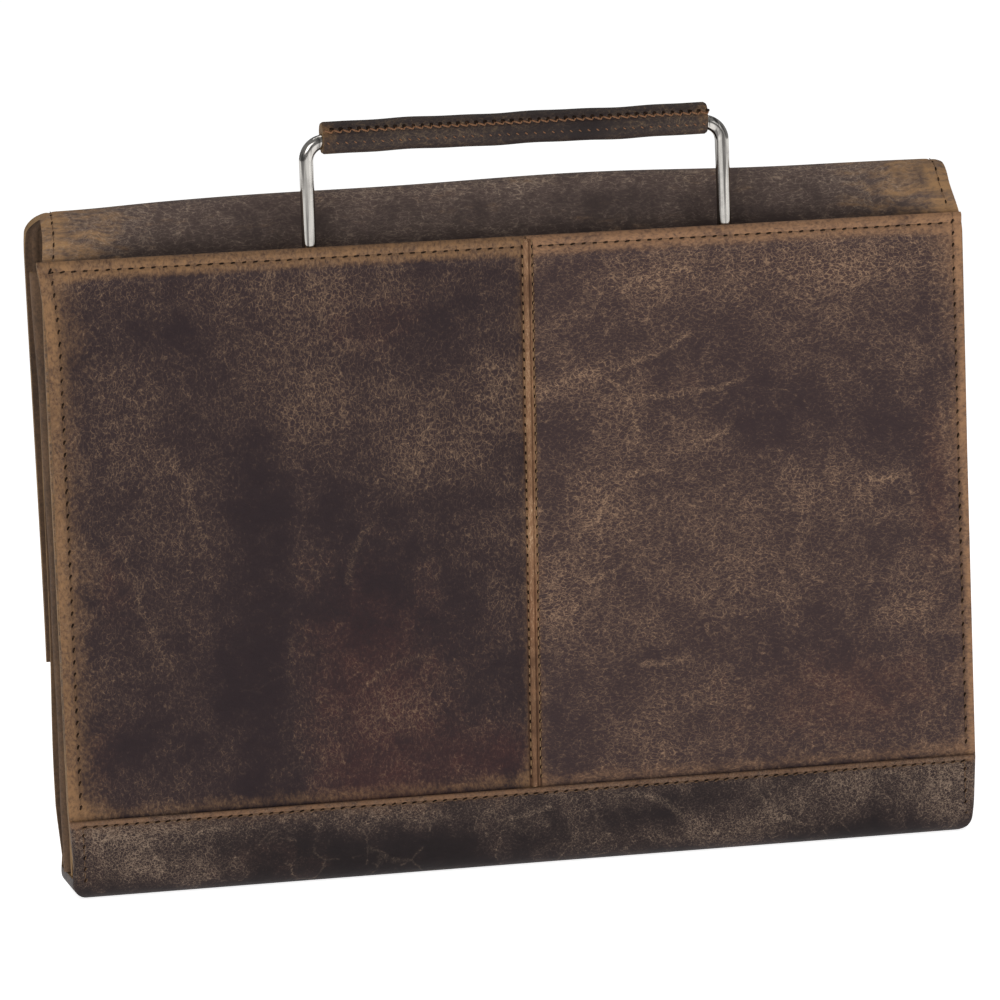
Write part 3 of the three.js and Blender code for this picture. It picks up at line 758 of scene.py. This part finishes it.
def backAndFlap():
    half, row, inner = form["halfWidth"], flap["row"], 1 - flap["margin"] / form["halfWidth"]
    near = spaced([(0, 2.7, 0.6), (2.7, 6.7, 0.4), (6.7, flap["margin"], 1.2)])
    middle = np.linspace(-inner, inner, 104)[1:-1]
    shares = np.concatenate([-1 + near / half, middle, (1 - near / half)[::-1]])
    over = np.concatenate([
        np.linspace(0, 0.95, 16), np.linspace(0.97, 1, 3), np.linspace(1, 2, 48)[1:],
        np.linspace(2, 2.94, 58)[1:], np.linspace(2.94, 3, 24)[1:],
    ])[:, None]
    share = shares[None, :] + 0 * over
    straight = share * half
    y, z = flapPath(straight, over)
    reach = np.where(share > 0, flapEdge(over, True), flapEdge(over, False))
    x = share * (reach - np.where(over < 1, tapered(z), 0))
    away = (1 - np.abs(share)) * half
    front = smooth((over - 1.7) / 0.5)
    fromEnd = np.where(over > 2, z - flap["end"], 99)
    push = front * (0.35 + dents(x, z, 0.35)) + 0.3 * np.sin(x / 31 + 0.6) * hump(over - 1.5, 0.3)
    push -= flap["pressed"] * hump(away - row, 0.7) * (over > 0.9)
    push -= flap["pressed"] * hump(fromEnd - row, 0.7) * (away > row)
    push += 0.2 * hump(away - 2, 1.6) * (over > 0.9) + 0.2 * hump(fromEnd - 2, 1.6)
    inward = np.clip((half - np.abs(straight)) / 30, 0, 1)
    dy, dz = np.gradient(y, axis=0), np.gradient(z, axis=0)
    length = np.hypot(dy, dz) + 1e-9
    ny, nz = -dz / length, dy / length
    dip = 0.5 * np.sin(x / 26) * hump(over - 1.4, 0.25) * inward
    grid = joined(x, y + ny * (push + dip), z + nz * (push + dip))
    ageAndPaintedLight = patchAgeAndPaintedLight(x, z, flap["patches"]) * (1 - front[..., None] * 0.8)
    ageAndPaintedLight += patchAgeAndPaintedLight(x, z, flap["frontPatches"]) * front[..., None] * 1.3
    ageAndPaintedLight[..., red] += 0.7 * front
    # painted shade in the pocket's mouth, on the back wall behind the pocket's edge
    ageAndPaintedLight[..., dark] += 0.5 * hump(over - 0.95, 0.12) * (away > 12)
    wear = 0.85 * smooth((12 - away) / 9) + 0.75 * smooth((60 - away) / 50) * hump(over - 1.3, 0.6)
    wear = wear + 0.7 * smooth((7 - fromEnd) / 5) + 0.12 * hump(over - 1.55, 0.12)
    leatherSheet("back_wall_and_flap", "body_leather", grid, flap["wall"], "body_hide", ageAndPaintedLight, wear)
    normals = joined(0, ny, nz)
    seam = Seam("flap_stitching", "brown")
    steps = over[:, 0]
    for sign in (-1, 1):
        column = int(np.argmin(np.abs(straight[0] - sign * (half - row))))
        pick = (steps > 1.1) & (z[:, column] > flap["end"] + row * (steps > 2))
        line = grid[pick, column]
        seam.row(line, normals[pick, column], flap["pitch"], slant=-26, hole=(2.5, 1.1), bit=0.6)
    lowest = int(np.argmin(np.abs(z[:, 60] - flap["end"] - row) + 1000 * (steps < 2)))
    pick = np.abs(straight[0]) < half - row - 2
    seam.row(grid[lowest, pick], normals[lowest, pick], flap["pitch"], slant=10, hole=(1.8, 0.8))
    seam.make("case")


backAndFlap()
print("back wall and flap made")

# front panel
frontPanel = {
    "top": 250.0, "wall": 1.9, "face": 15.3, "row": 4.7, "pitch": 5.1, "straight": 188,
    "patches": {
        "light": [(-80, 62, 60, 14, 0.4, 3), (140, 76, 30, 10, 0.4)],
        "dark": [(60, 55, 60, 12, 0.4)],
    },
}


def frontWall():
    half, top, straight = form["halfWidth"], frontPanel["top"], frontPanel["straight"]
    x = spaced([(-half, -straight, 1.0), (-straight, straight, 6.5), (straight, half, 1.0)])[None, :]
    z = spaced([(form["foot"], 60, 6), (60, 110, 3), (110, 244, 7), (244, top, 1.0)])[:, None]
    gridX = x + np.sign(x) * (1.1 * hump(z - 52, 40) - tapered(z)) * (np.abs(x) > straight)
    gridZ = z + 0 * x
    away = np.minimum(half - np.abs(gridX), top - gridZ)
    relief = -dents(gridX, gridZ, 0.2) * smooth(away / 12) * smooth((110 - gridZ) / 20)
    relief -= 0.3 * hump(away - frontPanel["row"], 0.8)
    grid = joined(gridX, frontPanel["face"] + relief, gridZ)
    ageAndPaintedLight = patchAgeAndPaintedLight(gridX, gridZ, frontPanel["patches"])
    # painted shadow under the flap's lower edge
    ageAndPaintedLight[..., dark] += 0.6 * hump(gridZ - 93, 4)
    ageAndPaintedLight[..., red] += 0.7
    wear = 0.9 * smooth((8 - away) / 6)
    leatherSheet("front_panel", "body_leather", grid, frontPanel["wall"], "body_hide", ageAndPaintedLight, wear, flip=True)
    seam = Seam("front_stitching", "brown")
    for sign in (-1, 1):
        z = np.linspace(36, 246, 60)
        x = sign * (half - frontPanel["row"])
        line = joined(x, frontPanel["face"] - 0.2, z)
        seam.row(line, forwards, frontPanel["pitch"], slant=24)
    seam.make("case")


frontWall()
print("front panel made")

# base band
band = {
    "top": 33.0, "corner": 7.0, "endRound": 6.0, "endCorner": 2.0, "taper": 1.9, "lip": 9.0, "roll": 0.8,
    "halfDepth": 17.5, "shift": -0.05, "wall": 1.7, "row": 2.4, "pitch": 4.35, "endRow": 5.2, "endPitch": 4.6,
    "endX": 189.6, "rowHalf": 191,
    "patches": {
        "light": [(-180, 22, 16, 12, 0.75), (-158, 9, 22, 6, 0.5), (128, 20, 30, 8, 0.5, 4),
            (72, 12, 16, 6, 0.35, 10), (24, 14, 12, 6, 0.3), (182, 18, 12, 10, 0.6),
            (-60, 24, 30, 6, 0.3, -4)],
        "dark": [(-62, 9, 40, 9, 0.7), (62, 20, 50, 9, 0.6, 6), (-112, 18, 22, 8, 0.35),
            (5, 10, 20, 7, 0.4), (150, 6, 30, 5, 0.4)],
        "red": [(-186, 12, 10, 14, 0.4), (-30, 29, 30, 4, 0.3), (-120, 14, 34, 12, 0.35)],
    },
}


def bandRows():  # height and inset, from the lip down the face and round to the underside's middle
    top, corner, lip, roll = (band[key] for key in ("top", "corner", "lip", "roll"))
    rows = [(top - roll + roll * sin(a), roll * (1 - cos(a))) for a in np.linspace(1.9, 0, 6)]
    face = spaced([(top - roll, top - 4.4, 0.4), (top - 4.4, lip, 2.2), (lip, corner, 1.0)])
    rows += [(z, 0.0) for z in face[1:]]
    rows += [(corner * (1 - sin(a)), corner * (1 - cos(a))) for a in np.linspace(0, pi / 2, 11)[1:]]
    return rows + [(0.0, inset) for inset in (9.5, 12.5, 15.5, 17.3)]


def bandRing(z, inset, alongX):  # place, outward direction, way from the end, and 1 where it is an end
    corner, endRound = band["corner"], band["endRound"]
    r = max(band["endCorner"] - inset * 0.9, 0.15)
    endInset = inset
    if z <= corner:
        endInset = endRound - sqrt(max(endRound**2 - max(endRound - z, 0) ** 2, 0))
    endInset = max(endInset, inset - corner + endRound)
    reachX = form["halfWidth"] - endInset - r - band["taper"] * (1 - z / band["top"])
    reachY = band["halfDepth"] - inset - r
    ring = []
    for side in range(4):  # back, right end, front, left end, each with the corner after it
        turn, isEnd = side * pi / 2, side % 2
        signX, signY = 1 if side < 2 else -1, 1 if side in (1, 2) else -1
        for spot in signX * (np.linspace(-1, 1, 10) if isEnd else alongX):
            place = (signX * (reachX + r), spot * reachY) if isEnd else (spot * reachX, signY * (reachY + r))
            away = 0.0 if isEnd else (1 - abs(spot)) * reachX + r
            ring.append(place + (sin(turn), -cos(turn), away, isEnd))
        for a in np.linspace(0, pi / 2, 5)[1:-1]:
            dx, dy = sin(turn + a), -cos(turn + a)
            ring.append((signX * reachX + r * dx, signY * reachY + r * dy, dx, dy, 0.0, 0))
    return ring


def baseBand():
    top, half = band["top"], form["halfWidth"]
    near, inner = spaced([(0, 9, 0.6), (9, 20, 1.6)]) / half, 1 - 20 / half
    alongX = np.concatenate([-1 + near, np.linspace(-inner, inner, 96)[1:-1], (1 - near)[::-1]])
    rows = bandRows()
    rings = np.array([bandRing(z, inset, alongX) for z, inset in rows])
    heights = np.array([z for z, _ in rows])[:, None]
    grid = joined(rings[..., 0], rings[..., 1] + band["shift"], heights)
    outward, away, isEnd = rings[..., 2:4], rings[..., 4], rings[..., 5] > 0
    x, z = grid[..., 0], grid[..., 2]
    face = (z > band["corner"] - 0.01) * (away > 0)
    push = -0.35 * hump(z - (top - band["row"]), 0.6) * face - 0.3 * hump(away - band["endRow"], 0.7) * face
    waves = 0.35 * dents(x * 1.6, z * 2, 0.5) * smooth((away - 4) / 14)
    push = push + waves * smooth((top - 3 - z) / 6) * face
    grid[..., :2] += outward * push[..., None]
    # the ends lean in towards the foot
    grid[..., 0] -= 1.6 * np.clip(1 - z / 15, 0, 1) ** 2 * smooth((x - 150) / 40)
    grid[..., 0] -= 1.2 * hump(z - 6, 6) * smooth((-x - 150) / 40)
    # the ends are open over the lip
    openPart = (heights[1:] >= band["lip"] - 0.01) & isEnd[:-1] & np.roll(isEnd[:-1], -1, axis=1)
    ageAndPaintedLight = patchAgeAndPaintedLight(x, z, band["patches"]) * (grid[..., 1] < 0)[..., None]
    ageAndPaintedLight = ageAndPaintedLight + patchAgeAndPaintedLight(-x * 0.9 + 20, z, band["patches"]) * (grid[..., 1] >= 0)[..., None]
    leftHalf = smooth((20 - x) / 60)
    wear = (0.72 + 0.2 * leftHalf) * smooth((z - (top - 3.4)) / 1.8) + 0.45 * smooth((6 - away) / 5) * face
    wear = wear + (0.2 + 0.25 * leftHalf) * smooth((z - (top - 12)) / 10)
    ageAndPaintedLight[..., light] += (0.25 + 0.15 * leftHalf) * smooth((z - (top - 17)) / 14)
    # painted shade, darker towards the foot and on the underside
    ageAndPaintedLight[..., dark] += 0.5 * smooth((9 - z) / 9)
    ring = {"closed": True, "keep": ~openPart, "flip": True, "cap": True}
    leatherSheet("base_band", "band_leather", grid, band["wall"], "band_hide", ageAndPaintedLight, wear, **ring)
    seam = Seam("band_stitching", "brown")
    for sign, out in ((-1, backwards), (1, forwards)):
        x = np.linspace(-band["rowHalf"], band["rowHalf"], 90)
        y = sign * (band["halfDepth"] - 0.12) + band["shift"]
        line = joined(x, y, top - band["row"])
        seam.row(line, out, band["pitch"], slant=16 * -sign, hole=(2.1, 0.85), bit=0.5)
        for end in (-1, 1):
            z = np.linspace(6, top - 3.5, 12)
            line = joined(end * band["endX"], y, z)
            seam.row(line, out, band["endPitch"], slant=-26, hole=(1.9, 1.05), bit=0.5)
    seam.make("case")


baseBand()
print("base band made")

# side gussets
gusset = {
    "fold": 17.0, "inset": 0.5, "wall": 1.3, "outset": 3.0, "backY": -10.35, "frontY": 12.3,
    "ribTop": 259.5, "backTop": 254.7, "frontTop": 250.0,
    "outs": [0, -0.5, -0.94, -1, -0.94, -0.5, -0.04, 0, -0.04, -0.5, -0.94, -1, -0.94, -0.5, 0],
    "across": [0, 0.09, 0.18, 0.225, 0.27, 0.37, 0.452, 0.5, 0.548, 0.63, 0.73, 0.775, 0.82, 0.91, 1],
    "ribs": [0, 0, 0, 0, 0, 0.5, 1, 1, 1, 0.5, 0, 0, 0, 0, 0],
    "patches": {
        "light": [(0, 150, 20, 50, 0.4)],
        "dark": [(0, 40, 30, 30, 0.4)],
        "red": [(0, 220, 20, 30, 0.3)],
    },
}


def softly(values):  # a line through the values, with its corners rounded
    line = np.interp(np.linspace(0, 14, 71), range(15), values)
    return np.convolve(np.pad(line, 2, "edge"), [0.1, 0.2, 0.4, 0.2, 0.1], "valid")


def sideGusset(side):
    out, place, rib = (softly(gusset[key]) for key in ("outs", "across", "ribs"))
    place[0], place[-1] = 0, 1
    share = np.concatenate([np.linspace(0, 0.96, 44), np.linspace(0.965, 1, 6)])[:, None]
    tip = rib * gusset["outset"] * (0.02 + 0.98 * share**3)
    wave = 0.35 * np.sin(share * 23 + side) * (1 - np.abs(2 * place - 1)) * smooth(share / 0.1)
    x = form["halfWidth"] - gusset["inset"] + out * gusset["fold"] + tip + wave * 0.6
    y = gusset["backY"] + (gusset["frontY"] - gusset["backY"]) * place + 0 * share + 0.6 * wave * (rib < 0.5)
    topBack = gusset["backTop"] + (gusset["ribTop"] - gusset["backTop"]) * place / 0.5
    topFront = gusset["ribTop"] + (gusset["frontTop"] - gusset["ribTop"]) * (place - 0.5) / 0.5
    z = form["foot"] + (np.where(place < 0.5, topBack, topFront) - form["foot"]) * share
    grid = joined(side * x, y, z)
    ageAndPaintedLight = patchAgeAndPaintedLight(y, grid[..., 2], gusset["patches"])
    # painted shade in the gusset's inward folds
    ageAndPaintedLight[..., dark] += 0.7 * smooth(-out - 0.2) + 0 * share
    wear = 0.9 * smooth(rib * 2 - 0.6) * (0.6 + 0.4 * share)
    wear = wear + 0.5 * smooth((share - 0.97) / 0.03) * (rib > 0.3)
    name = "gusset_left" if side < 0 else "gusset_right"
    leatherSheet(name, "gusset_leather", grid, gusset["wall"], "gusset_hide", ageAndPaintedLight, wear, flip=side > 0)


sideGusset(-1)
sideGusset(1)
print("gussets made")

# handle
handle = {
    "centreX": 5.2, "rodY": -8.55, "span": 177.0, "top": 307.4, "radius": 3.0, "bend": 8.0,
    "footBend": 5.0, "footLength": 6.0, "footZ": 213.2, "gripLength": 163.5, "gripZ": 308.7,
    "gripHigh": 6.9, "gripDeep": 5.7, "square": 0.9, "lap": 0.45, "reach": 6.2, "pitch": 3.8,
    "seamTurn": 2 * pi - 1.17, "slants": (-22, 58),
    "patches": {
        "light": [(-40, 308, 30, 5, 0.4), (70, 309, 14, 5, 0.3)],
        "dark": [(30, 306, 40, 5, 0.4)],
    },
}


def steel():
    finish = Finish("handle_steel")
    smears = finish.noise(finish.place, 150, 3.0)
    # the long dark lines along the rod are painted reflections of dark surroundings
    lines = finish.noise(finish.stretched(finish.place, (1, 1, 0.03)), 520, 3.0, 0.6)
    paint = finish.blend("#c6c2bc", "#4a4745", lines.step(0.46, 0.6) * 0.85)
    paint = finish.blend(paint, "#8f8b87", smears.step(0.45, 0.8) * 0.6)
    rough = smears.step(0.4, 0.8) * 0.08 + lines * 0.12 + 0.05
    return finish.done(**{"Base Color": paint, "Metallic": 1.0, "Roughness": rough})


def bowAxis():
    half, low, top = handle["span"] / 2, handle["footZ"], handle["top"]
    foot, bend = handle["footBend"], handle["bend"]
    points = [(-half - foot - handle["footLength"], low)]
    for turn in np.linspace(-pi / 2, 0, 9):
        points.append((-half - foot + foot * cos(turn), low + foot + foot * sin(turn)))
    points += [(-half, z) for z in np.linspace(low + 8, top - bend - 2, 8)]
    for turn in np.linspace(pi, pi / 2, 15):
        points.append((-half + bend + bend * cos(turn), top - bend + bend * sin(turn)))
    return np.array(points + [(-x, z) for x, z in reversed(points)])


def handleBow():
    axis = bowAxis()
    along = np.gradient(axis, axis=0)
    along /= np.linalg.norm(along, axis=1)[:, None]
    t = np.linspace(0, 2 * pi, 33)[:-1]
    # each row has its place on the axis, its share of the radius and how far it is set in
    last = len(axis) - 1
    rows = [(0, 0.0, 0), (0, 0.8, 0), (0, 1.0, 0.5)] + [(i, 1.0, 0) for i in range(1, last)]
    rows += [(last, 1.0, -0.5), (last, 0.8, 0), (last, 0.0, 0)]
    rings = []
    for i, share, inset in rows:
        (x, z), (ux, uz), radius = axis[i], along[i], handle["radius"] * share
        alongX = handle["centreX"] + x + inset * ux - uz * radius * np.cos(t)
        alongZ = z + inset * uz + ux * radius * np.cos(t)
        rings.append(joined(alongX, handle["rodY"] + radius * np.sin(t), alongZ))
    faces = [face[::-1] for face in gridFaces(len(rings), len(t), True)]
    bow = makeObject("handle_bow_steel", np.concatenate(rings), faces, [steel()])
    settle(bow, "handle_bow", "handle")


def squared(value):  # between a circle's and a square's section
    return np.sign(value) * np.abs(value) ** handle["square"]


def onGrip(x, turn, out):
    deep, high = handle["gripDeep"] - handle["lap"] + out, handle["gripHigh"] - handle["lap"] + out
    y = handle["rodY"] + deep * squared(np.sin(turn))
    return joined(x + handle["centreX"], y, handle["gripZ"] + high * squared(np.cos(turn)))


def handleGrip():
    half, pitch, lapHigh = handle["gripLength"] / 2, handle["pitch"], handle["lap"]
    along = spaced([(-half, -half + 1.2, 0.4), (-half + 1.2, half - 1.2, 0.75), (half - 1.2, half, 0.4)])
    around = np.linspace(0, 2 * pi, 73)[:-1]
    x, turn = along[:, None] + 0 * around, around + 0 * along[:, None]
    # the overlap's edge with its stitches is on the pocket's side
    offset = (turn - handle["seamTurn"]) * handle["reach"]
    wave = np.cos(2 * pi * x / pitch)
    lap = lapHigh * (offset > 0) * smooth(np.abs(offset) / 0.5)
    lap = lap + lapHigh * (turn < 1.4) * smooth((1.4 - turn) / 0.5)
    lap = lap - lapHigh * hump(offset, 0.45) + 0.22 * wave * hump(offset - 1.6, 1.2)
    lap = lap - 0.3 * hump(offset + 4.2, 0.5) * (0.6 + 0.4 * wave)
    lap = lap + 0.18 * np.sin(x / 9.0) * np.cos(turn) + 0.1 * np.sin(x / 4.1 + turn)
    fromEnd = half - np.abs(x)
    outer = onGrip(x, turn, lap - 0.5 * (1 - smooth(fromEnd / 0.9)))
    hole, ends = handle["radius"] + 0.25, turn[[0, -1]]
    innerY, innerZ = handle["rodY"] + hole * np.sin(ends), handle["top"] + hole * np.cos(ends)
    inner = joined(x[[0, -1]] + handle["centreX"], innerY, innerZ)
    middle = outer[[0, -1]] * 0.5 + inner * 0.5
    grid = np.concatenate([inner[:1], middle[:1], outer, middle[1:], inner[1:], inner[:1]])
    rows, columns = grid.shape[:2]
    ageAndPaintedLight = patchAgeAndPaintedLight(grid[..., 0], grid[..., 2], handle["patches"])
    wear = np.zeros((rows, columns))
    wear[2:-3] = 0.8 * smooth((9 - fromEnd) / 8) * (0.5 + 0.5 * hump(offset, 3))
    wear[2:-3] += 0.25 * hump(offset - 0.4, 0.8) + 0.08 * hump(offset - 3, 2)
    faces = gridFaces(rows, columns, True)
    finishes = [hides["grip_hide"], edgeFinish]
    grip = makeObject("handle_grip_hide", grid.reshape(-1, 3), faces, finishes, ageAndPaintedLight, wear)
    kinds = np.zeros(len(faces), int)
    kinds[: 2 * columns] = 1
    kinds[-3 * columns :] = 1
    grip.data.polygons.foreach_set("material_index", kinds.tolist())
    settle(grip, "handle_grip", "handle")
    gripStitching(half, pitch)


def gripStitching(half, pitch):
    seam = Seam("grip_stitching", "rust")
    sideways, tack = np.array([1.0, 0, 0]), np.array([0.8, 0, -0.6])

    def spot(x, turn, out):
        y, z = squared(np.sin(turn)) / handle["gripDeep"], squared(np.cos(turn)) / handle["gripHigh"]
        return onGrip(x, turn, out), np.array([0.0, y, z]) / hypot(y, z)

    for i in range(int(handle["gripLength"] / pitch)):
        at = -half + 2 + i * pitch
        place, up = spot(at, handle["seamTurn"], 0.25)
        side = np.cross(up, sideways)
        slants = [radians(a) for a in handle["slants"]]
        tilted, hooked = (sideways * cos(a) + side * sin(a) for a in slants)
        seam.put(blob(3.6, 0.85, 0.75), place, tilted, up, 0)
        seam.put(blob(1.9, 0.7, 0.65), place + 1.7 * sideways, hooked, up, 0)
        place, up = spot(at + 1.6, handle["seamTurn"] + 0.16, 0.35)
        seam.put(blob(2.1, 1.5, 0.6), place, sideways, up, 1)
        place, up = spot(at, handle["seamTurn"] - 4.2 / handle["reach"], -0.15)
        seam.put(blob(1.6, 0.6, 0.5), place, tack - up * (tack @ up), up, 0)
    seam.make("handle")


# the sleeves that the rods slide in
sleeve = {"low": 218.6, "high": 252.4, "backY": -13.0, "half": 8.2, "wall": 1.2, "arc": (4.6, 4.55)}


def guideSleeve(name, centre):
    low, high, (wide, deep) = sleeve["low"], sleeve["high"], sleeve["arc"]
    z = spaced([(low, low + 1, 0.5), (low + 1, high - 1, 2.5), (high - 1, high, 0.5)])[:, None]
    turns = np.linspace(-0.2, pi + 0.2 - 0.001, 19) + pi / 2
    line = [(-sleeve["half"], sleeve["backY"]), (-6.2, sleeve["backY"])]
    line += [(-wide * cos(t), handle["rodY"] + deep * sin(t)) for t in turns]
    line += [(6.2, sleeve["backY"]), (sleeve["half"], sleeve["backY"])]
    x, y = np.array(line).T
    grid = joined(centre + x, y, z)
    ageAndPaintedLight, wear = np.zeros(grid.shape), np.full(grid.shape[:2], 0.2)
    leatherSheet(name, "gusset_leather", grid, sleeve["wall"], "gusset_hide", ageAndPaintedLight, wear, flip=True)


handleBow()
handleGrip()
guideSleeve("handle_guide_left", handle["centreX"] - handle["span"] / 2)
guideSleeve("handle_guide_right", handle["centreX"] + handle["span"] / 2)
print("handle made")

# studio
studio = {"paper": "#f4f4f4", "reach": 26.0, "glow": 0.86, "key": 11, "fill": 4.5, "top": 6, "world": 0.25}


def stage():
    reach = studio["reach"] * 1000
    points = [(-reach, -reach, 0), (reach, -reach, 0), (reach, reach, 0), (-reach, reach, 0)]
    finish = Finish("studio_paper")
    speckle = finish.noise(finish.place, 3.0, 2.0)
    paint = finish.blend(studio["paper"], "#ffffff", speckle)
    paper = finish.done(**{
        "Base Color": paint, "Roughness": 0.9, "Emission Color": paint, "Emission Strength": studio["glow"]})
    makeObject("studio_floor", points, [(0, 1, 2, 3)], [paper])


def softbox(name, place, aim, size, power):
    data = bpy.data.lights.new(name, "AREA")
    data.shape, data.size, data.size_y, data.energy = "RECTANGLE", size[0], size[1], power
    light = bpy.data.objects.new(name, data)
    light.location = place
    light.rotation_mode = "QUATERNION"
    light.rotation_quaternion = (Vector(aim) - Vector(place)).to_track_quat("-Z", "Y")
    bpy.context.scene.collection.objects.link(light)


stage()
softbox("key", (-1.3, -1.7, 1.5), (0, 0, 0.15), (1.2, 1.2), studio["key"])
softbox("fill", (1.6, -1.5, 0.8), (0, 0, 0.15), (1.0, 1.4), studio["fill"])
softbox("top", (0.1, 0.4, 1.9), (0, 0, 0.2), (1.6, 0.8), studio["top"])
world = bpy.data.worlds.new("studio")
bpy.context.scene.world = world
world.use_nodes = True
world.node_tree.nodes["Background"].inputs["Color"].default_value = (1, 1, 1, 1)
world.node_tree.nodes["Background"].inputs["Strength"].default_value = studio["world"]
bpy.context.scene.view_settings.view_transform = "Standard"
print("studio lit")
